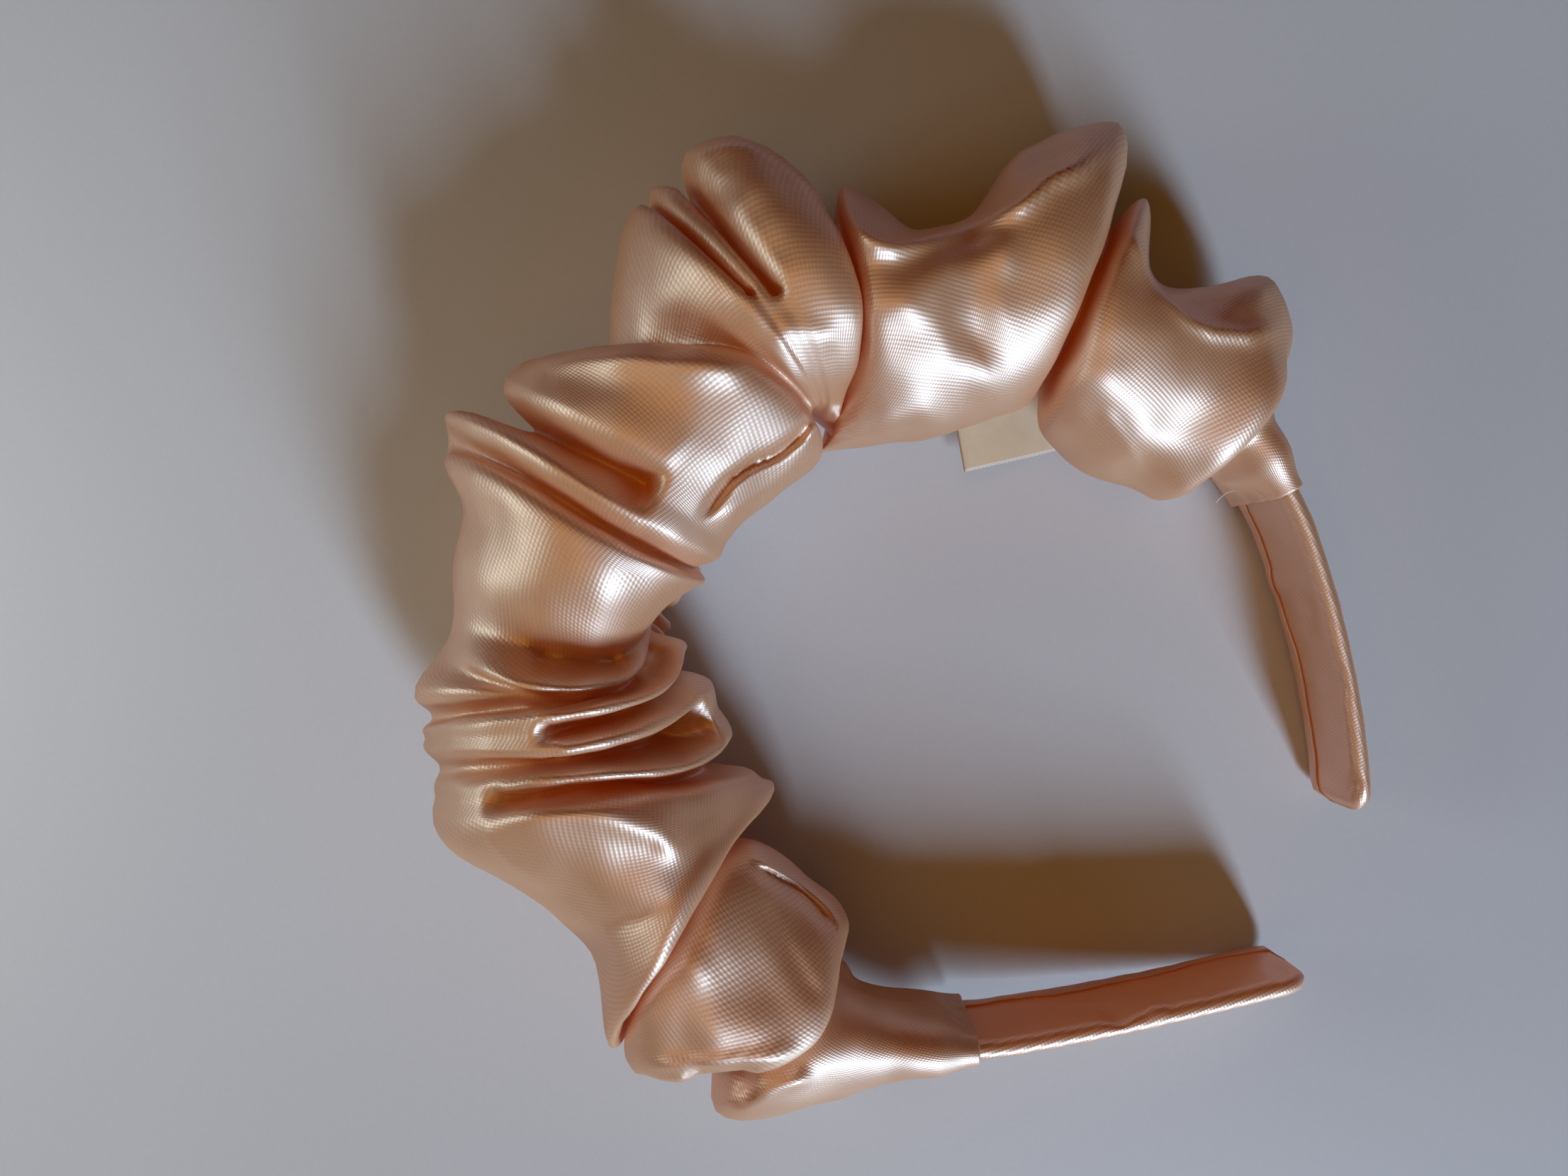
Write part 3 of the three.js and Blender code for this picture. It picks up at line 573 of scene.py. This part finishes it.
# Creases and dents of the cover's inner face: (name, depth in mm, half width in pixels, points).
COVER_STROKES = [
    ("left leg crease", -0.35, 5, [(1480, 1418), (1552, 1404), (1600, 1397), (1660, 1384)]),
    ("left leg dent", -0.9, 13, [(1552, 1412), (1572, 1430), (1596, 1446)]),
    ("left leg bulge", 0.5, 15, [(1615, 1428), (1650, 1418)]),
    ("left leg small dent", -0.4, 9, [(1690, 1395), (1720, 1392)]),
    ("left tip tuck", -0.8, 9, [(1790, 1352), (1806, 1368), (1812, 1384)]),
    ("right leg dent", -0.5, 12, [(1832, 834), (1842, 860), (1850, 900)]),
    ("right leg bulge", 0.4, 12, [(1792, 800), (1806, 838)]),
    ("right leg hollow", -0.4, 22, [(1880, 930), (1890, 990)]),
    ("right tip tuck", -0.6, 10, [(1900, 1100), (1925, 1112)]),
]


def lap_height(station):
    """The lapped edge's share of the face's height, which wanders a little."""
    s = station
    return LAP_EDGE + 0.025 * np.sin(s / 6.5 + 1.0) + 0.018 * np.sin(s / 3.1) + 0.012 * np.sin(s / 13.0)


def cover_section(station, half):
    """(out, up) across the cover, from its hidden start to its folded edge."""
    core = BAND_THICKNESS / 2
    turns = np.linspace(0, 1, SECTION_COLUMNS)[None, :] * 2 * math.pi + math.pi
    # The closed section, cut on the inner face and run backwards: up, over the top and round.
    out, up = band_section(half, COVER_CLEARANCE, -turns)
    out = out + 0 * half
    low = -half + 2 * half * LAP_START
    start = np.argmin(np.abs(up[0] - low[0]) + 9 * (out[0] > 0))
    out, up = np.roll(out[:, :-1], -start, 1), np.roll(up[:, :-1], -start, 1)
    edge = -half + 2 * half * lap_height(station)
    rise = np.linspace(0.12, 1, LAP_COLUMNS)[None, :]
    lap_up = low + (edge - low) * rise
    lap_out = -(core + COVER_CLEARANCE + LAP_LIFT * smooth(rise * 4) + 0 * lap_up)
    fold_out = np.concatenate([
        -(core + COVER_CLEARANCE + 0.7 * LAP_LIFT + 0 * edge), -(core + 0.2 + 0 * edge)], 1)
    fold_up = np.concatenate([edge + 0.18, edge + 0.02], 1)
    return np.concatenate([out, lap_out, fold_out], 1), np.concatenate([up, lap_up, fold_up], 1)


def dent_cover(points, outward, inner):
    u, v = to_photo(points)
    for _, depth, width, line in COVER_STROKES:
        d, along = distance_to_line(u, v, line)
        ends = smooth(np.minimum(along, 1 - along) / 0.25)
        points -= outward * (depth * ends * np.exp(-((d / width) ** 2)) * inner)[..., None]


def make_band():
    stations = np.concatenate([
        LEFT_END + TIP_STEPS,
        np.linspace(LEFT_END + 5, RIGHT_END - 5, BAND_RINGS),
        RIGHT_END - TIP_STEPS[::-1],
    ])[:, None]
    half = band_half_width(stations)
    out, up = cover_section(stations, half)
    # The tips' folds close the ends.
    to_tip = np.minimum(stations - LEFT_END, RIGHT_END - stations)
    pinch = 0.12 + 0.88 * smooth(to_tip / 2.2)
    out = out * pinch
    points = beside(stations + 0 * out, out, up)
    _, _, out_x, out_y = plan(stations + 0 * out)
    outward = np.stack([out_x, out_y, 0 * out_x], -1)
    inner = (out < 0) * smooth(to_tip / 1.5)
    dent_cover(points, outward, inner)
    points += outward * (0.45 * ripple(points * 1.6) * np.sign(out) * pinch)[..., None]
    points[..., 2] = np.maximum(points[..., 2], 0.12)
    uvs, _ = cloth_coordinates(points, False)
    faces = grid_faces(points.shape[0], points.shape[1])
    return mesh_object("band_cover", points, faces, uvs)


# ================================================================ the label and a loose thread

# The label is a strip of woven tape folded in half, with its fold at the left of the photograph and
# its two cut ends sewn in under the sleeve. Its corners, in pixels and mm of height, are those of the
# upper layer: at the fold and at the seam, on the photograph's lower side and its upper side.
LABEL_CORNERS = {
    "fold low": (1360, 666, 5.2), "seam low": (1497, 634, 2.2),
    "fold high": (1340, 556, 2.9), "seam high": (1470, 522, 1.6),
}
LABEL_WIDTH = 16.4        # about the distance between the two sides
LABEL_GAP = 0.7           # between the two layers
LABEL_ROWS, LABEL_COLUMNS = 40, 90
SELVEDGE_TEETH = 46       # loops of yarn along each selvedge


def pixel_point(u, v, z):
    """Crown-frame point at height z seen at a photograph pixel."""
    scale = (CAMERA_HEIGHT - z) / FOCAL
    x, y = from_photo((u - PHOTO_CENTRE[0]) * scale, (PHOTO_CENTRE[1] - v) * scale)
    return np.array([x, y, z])


def make_label():
    corner = {name: pixel_point(*value) for name, value in LABEL_CORNERS.items()}
    rows = []
    for i in range(LABEL_ROWS + 1):
        side = i / LABEL_ROWS
        # Selvedge yarns turn back in small loops, so the two long edges are toothed.
        edge = max(0.0, 1 - min(i, LABEL_ROWS - i) / 1.5)
        fold = corner["fold low"] + (corner["fold high"] - corner["fold low"]) * side
        seam = corner["seam low"] + (corner["seam high"] - corner["seam low"]) * side
        length = np.linalg.norm(seam - fold)
        along = (seam - fold) / length
        outward = corner["fold low"] - corner["fold high"] if i < LABEL_ROWS / 2 else \
            corner["fold high"] - corner["fold low"]
        outward = outward / np.linalg.norm(outward)
        line = []
        for j in range(LABEL_COLUMNS + 1):
            way = 2 * j / LABEL_COLUMNS - 1          # -1 and 1 at the ends, 0 at the fold
            away = abs(way) * length
            bend = min(1.0, away / LABEL_GAP)
            spread = LABEL_GAP / 2 * math.sin(bend * math.pi / 2) * (1 if way < 0 else -1)
            wave = 0.10 * math.sin(away / 2.6 + 2.0 * side) + 0.07 * math.sin(away / 5.5 + 5 * side)
            dip = 0.35 * math.sin(math.pi * min(away / length, 1)) * (0.4 + 0.6 * side)
            point = fold + along * away
            point = point + np.array([0, 0, spread + wave - dip])
            tooth = 0.16 * edge * math.sin(j / LABEL_COLUMNS * 2 * math.pi * SELVEDGE_TEETH)
            line.append(point + outward * tooth)
        rows.append(line)
    points = np.array(rows)
    points[..., 2] = np.maximum(points[..., 2], TABLE_GAP)
    uvs, _ = cloth_coordinates(points, False)
    return mesh_object("label_tape", points, grid_faces(*points.shape[:2]), uvs)


# A loose end of sewing thread at the right cuff: pixels and heights along it.
THREAD = [(1742, 692, 21.0), (1733, 694, 20.0), (1727, 697, 19.0), (1723, 702, 18.0), (1719, 704, 17.2),
          (1716, 709, 16.4)]
THREAD_RADIUS = 0.06


def make_thread():
    curve = bpy.data.curves.new("thread", "CURVE")
    curve.dimensions = "3D"
    curve.bevel_depth = THREAD_RADIUS * MM
    curve.bevel_resolution = 2
    spline = curve.splines.new("NURBS")
    spline.points.add(len(THREAD) - 1)
    for point, where in zip(spline.points, THREAD):
        point.co = (*((pixel_point(*where) + CROWN_TO_ROW) * MM), 1)
    spline.order_u = 4
    spline.use_endpoint_u = True
    shape = bpy.data.objects.new("thread_curve", curve)
    bpy.context.scene.collection.objects.link(shape)
    mesh = bpy.data.meshes.new_from_object(shape.evaluated_get(bpy.context.evaluated_depsgraph_get()))
    bpy.data.objects.remove(shape)
    mesh.polygons.foreach_set("use_smooth", [True] * len(mesh.polygons))
    obj = bpy.data.objects.new("loose_thread", mesh)
    bpy.context.scene.collection.objects.link(obj)
    return obj


# ================================================================ materials

def material(name):
    """A new material, its nodes and its links."""
    made = bpy.data.materials.new(name)
    made.use_nodes = True
    return made, made.node_tree.nodes, made.node_tree.links


def math_chain(nodes, links):
    """A helper that adds one Math node and returns its output."""
    def add(operation, *values):
        node = nodes.new("ShaderNodeMath")
        node.operation = operation
        for socket, value in zip(node.inputs, values):
            if isinstance(value, (int, float)):
                socket.default_value = value
            else:
                links.new(value, socket)
        return node.outputs[0]
    return add


def mix_colours(nodes, links, factor, low, high):
    node = nodes.new("ShaderNodeMix")
    node.data_type = "RGBA"
    for name, value in (("A", low), ("B", high)):
        if isinstance(value, tuple):
            node.inputs[name].default_value = (*value, 1)
        else:
            links.new(value, node.inputs[name])
    links.new(factor, node.inputs["Factor"])
    return node.outputs["Result"]


def cloth_uv(nodes, links):
    """Two outputs: mm of cloth along and across."""
    uv = nodes.new("ShaderNodeUVMap")
    uv.uv_map = "cloth"
    split = nodes.new("ShaderNodeSeparateXYZ")
    links.new(uv.outputs[0], split.inputs[0])
    return split.outputs[0], split.outputs[1]


def noise(nodes, links, place, scale, detail=2.0):
    """A noise fixed to the object, with `scale` in turns per metre."""
    made = nodes.new("ShaderNodeTexNoise")
    made.inputs["Scale"].default_value = scale
    made.inputs["Detail"].default_value = detail
    links.new(place.outputs["Object"], made.inputs["Vector"])
    return made.outputs["Fac"]


def bump_from(nodes, links, shader, height, strength, depth):
    bump = nodes.new("ShaderNodeBump")
    bump.inputs["Strength"].default_value = strength
    bump.inputs["Distance"].default_value = depth
    links.new(height, bump.inputs["Height"])
    links.new(bump.outputs[0], shader.inputs["Normal"])


FLOAT_PITCH = 0.76          # mm between rows of the weave's floats
SATIN_GROUND = (0.68, 0.24, 0.05)
# The floats' colour is the yarn's own, made lighter with painted sheen for the glints of the curved floats.
SATIN_FLOAT_WITH_SHEEN = (1.0, 0.64, 0.31)
SATIN_THROUGH = (1.0, 0.32, 0.06)   # the colour of light that passes through the cloth
THROUGH_SHARE = 0.24
SHINE = (1.0, 0.97, 0.94)


def satin(name):
    """Peach satin: glossy floats over a duller, darker ground, their lighter colour partly painted sheen.
    """
    made, nodes, links = material(name)
    shader = nodes["Principled BSDF"]
    shader.inputs["Specular IOR Level"].default_value = 1.0
    shader.inputs["IOR"].default_value = 3.0
    shader.inputs["Specular Tint"].default_value = (*SHINE, 1)
    shader.inputs["Anisotropic"].default_value = 0.35
    add = math_chain(nodes, links)
    along, across = cloth_uv(nodes, links)

    # Two crossed waves whose product has a peak at each float.
    turn = math.pi / FLOAT_PITCH
    first = add("SINE", add("ADD", add("MULTIPLY", along, turn), add("MULTIPLY", across, 1.9 * turn)))
    second = add("SINE", add("SUBTRACT", add("MULTIPLY", along, 1.5 * turn),
                             add("MULTIPLY", across, 0.8 * turn)))
    floats = add("MULTIPLY_ADD", add("MULTIPLY", first, second), 0.5, 0.5)

    # Slow variation from the loom and from handling.
    cloudy = noise(nodes, links, nodes.new("ShaderNodeTexCoord"), 140, 3)
    share = add("ADD", add("MULTIPLY_ADD", floats, 0.95, 0.05),
                add("MULTIPLY_ADD", cloudy, 0.3, -0.15))
    # Floats get the lighter colour: weave pattern and painted sheen, standing in for their glints.
    links.new(mix_colours(nodes, links, share, SATIN_GROUND, SATIN_FLOAT_WITH_SHEEN), shader.inputs["Base Color"])
    links.new(add("MULTIPLY_ADD", floats, -0.14, 0.56), shader.inputs["Roughness"])
    links.new(add("MULTIPLY", floats, 0.3), shader.inputs["Metallic"])

    bump_from(nodes, links, shader, floats, 0.4, 0.00008)
    tangent = nodes.new("ShaderNodeTangent")
    tangent.direction_type = "UV_MAP"
    tangent.uv_map = "cloth"
    links.new(tangent.outputs[0], shader.inputs["Tangent"])

    # Thin cloth also lets some light through, which warms its folds.
    through = nodes.new("ShaderNodeBsdfTranslucent")
    through.inputs["Color"].default_value = (*SATIN_THROUGH, 1)
    mixed = nodes.new("ShaderNodeMixShader")
    mixed.inputs[0].default_value = THROUGH_SHARE
    links.new(shader.outputs[0], mixed.inputs[1])
    links.new(through.outputs[0], mixed.inputs[2])
    links.new(mixed.outputs[0], nodes["Material Output"].inputs["Surface"])
    return made


TAPE_PITCH = 0.34           # mm between the tape's yarns
TAPE_DARK, TAPE_LIGHT = (0.62, 0.51, 0.34), (0.93, 0.82, 0.60)
SELVEDGE = (0.96, 0.94, 0.87)
SELVEDGE_WIDTH = 0.5
THREAD_DARK, THREAD_LIGHT = (0.75, 0.55, 0.50), (0.95, 0.86, 0.90)


def woven_tape():
    """Matt cream tape in plain weave, paler along its selvedges."""
    made, nodes, links = material("tape")
    shader = nodes["Principled BSDF"]
    add = math_chain(nodes, links)
    # The first cloth coordinate runs across the tape, from one selvedge to the other.
    across, along = cloth_uv(nodes, links)
    turn = 2 * math.pi / TAPE_PITCH
    weave = add("MULTIPLY", add("SINE", add("MULTIPLY", across, turn)),
                add("SINE", add("MULTIPLY", along, turn)))
    cloudy = noise(nodes, links, nodes.new("ShaderNodeTexCoord"), 260)
    share = add("ADD", add("MULTIPLY_ADD", weave, 0.18, 0.4), add("MULTIPLY", cloudy, 0.5))
    body = mix_colours(nodes, links, share, TAPE_DARK, TAPE_LIGHT)
    middle = LABEL_WIDTH / 2
    to_middle = add("ABSOLUTE", add("SUBTRACT", across, middle))
    selvedge = add("GREATER_THAN", to_middle, middle - SELVEDGE_WIDTH)
    links.new(mix_colours(nodes, links, selvedge, body, SELVEDGE), shader.inputs["Base Color"])
    shader.inputs["Roughness"].default_value = 0.85
    bump_from(nodes, links, shader, weave, 0.5, 0.00006)
    return made


def thread_fibre():
    """Pale sewing thread, slightly mottled."""
    made, nodes, links = material("thread")
    shader = nodes["Principled BSDF"]
    mottled = noise(nodes, links, nodes.new("ShaderNodeTexCoord"), 1500)
    colour = mix_colours(nodes, links, mottled, THREAD_DARK, THREAD_LIGHT)
    links.new(colour, shader.inputs["Base Color"])
    shader.inputs["Roughness"].default_value = 0.5
    return made


# ================================================================ the scene

TABLE_DARK, TABLE_LIGHT = (0.57, 0.56, 0.57), (0.63, 0.62, 0.63)
TABLE_HALF = 900.0
# One row for each light: name, place right and up of the point below the camera, height, the two
# sides of its rectangle in mm, power in watts, and colour.
LIGHTS = [
    ("window", 954, -1870, 1160, 380, 1040, 60.0, (0.594, 0.783, 1.0)),     # cool, lower right
    ("lamp", -330, 0, 160, 160, 160, 0.3, (0.88, 1.0, 0.95)),               # small, at the left
    ("ceiling", -250, -150, 900, 900, 900, 1.6, (1.0, 0.42, 0.04)),         # dim and warm
]
ROOM_COLOUR, ROOM_STRENGTH = (1.0, 0.6, 0.33), 0.01


def make_floor():
    sides = ((-1, -1), (1, -1), (1, 1), (-1, 1))
    corners = [(x * TABLE_HALF, y * TABLE_HALF, -CROWN_TO_ROW[2]) for x, y in sides]
    floor = mesh_object("floor", corners, [(0, 1, 2, 3)], smooth_shading=False)
    made, nodes, links = material("table")
    shader = nodes["Principled BSDF"]
    add = math_chain(nodes, links)
    place = nodes.new("ShaderNodeTexCoord")
    fine = noise(nodes, links, place, 900)
    broad = noise(nodes, links, place, 9)
    share = add("ADD", add("MULTIPLY", fine, 0.6), add("MULTIPLY", broad, 0.4))
    colour = mix_colours(nodes, links, share, TABLE_DARK, TABLE_LIGHT)
    links.new(colour, shader.inputs["Base Color"])
    links.new(add("MULTIPLY_ADD", broad, 0.2, 0.45), shader.inputs["Roughness"])
    floor.data.materials.append(made)


def area_light(name, right, up, z, width, height, power, colour):
    light = bpy.data.lights.new(name, "AREA")
    light.shape = "RECTANGLE"
    light.size, light.size_y = width * MM, height * MM
    light.energy = power
    light.color = colour
    obj = bpy.data.objects.new(name, light)
    bpy.context.scene.collection.objects.link(obj)
    obj.location = row_point(right, up, z)
    target = row_point(*CROWN_IN_PHOTO, 20)
    obj.rotation_euler = (target - obj.location).to_track_quat("-Z", "Y").to_euler()


def make_lights():
    for light in LIGHTS:
        area_light(*light)
    world = bpy.data.worlds.new("room")
    world.use_nodes = True
    background = world.node_tree.nodes["Background"]
    background.inputs[0].default_value = (*ROOM_COLOUR, 1)
    background.inputs[1].default_value = ROOM_STRENGTH
    bpy.context.scene.world = world


def make_camera():
    data = bpy.data.cameras.new("camera")
    sensor = 36.0
    data.sensor_width = sensor
    data.lens = sensor * FOCAL / PHOTO_SIZE[0]
    data.clip_start = 0.01
    obj = bpy.data.objects.new("camera", data)
    bpy.context.scene.collection.objects.link(obj)
    obj.location = row_point(0, 0, CAMERA_HEIGHT)
    obj.rotation_euler = (0, 0, -PHOTO_TURN)
    bpy.context.scene.camera = obj
    bpy.context.scene.view_settings.view_transform = "Standard"


make_camera()
make_lights()
make_floor()

SATIN = satin("satin")
thread = make_thread()
thread.data.materials.append(thread_fibre())
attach(thread, "root")
sleeve = make_sleeve()
sleeve.data.materials.append(SATIN)
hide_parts("sleeve")
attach(sleeve, "root")

band = make_band()
band.data.materials.append(SATIN)
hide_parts("band")
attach(band, "root")

label = make_label()
label.data.materials.append(woven_tape())
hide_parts("label")
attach(label, "root")
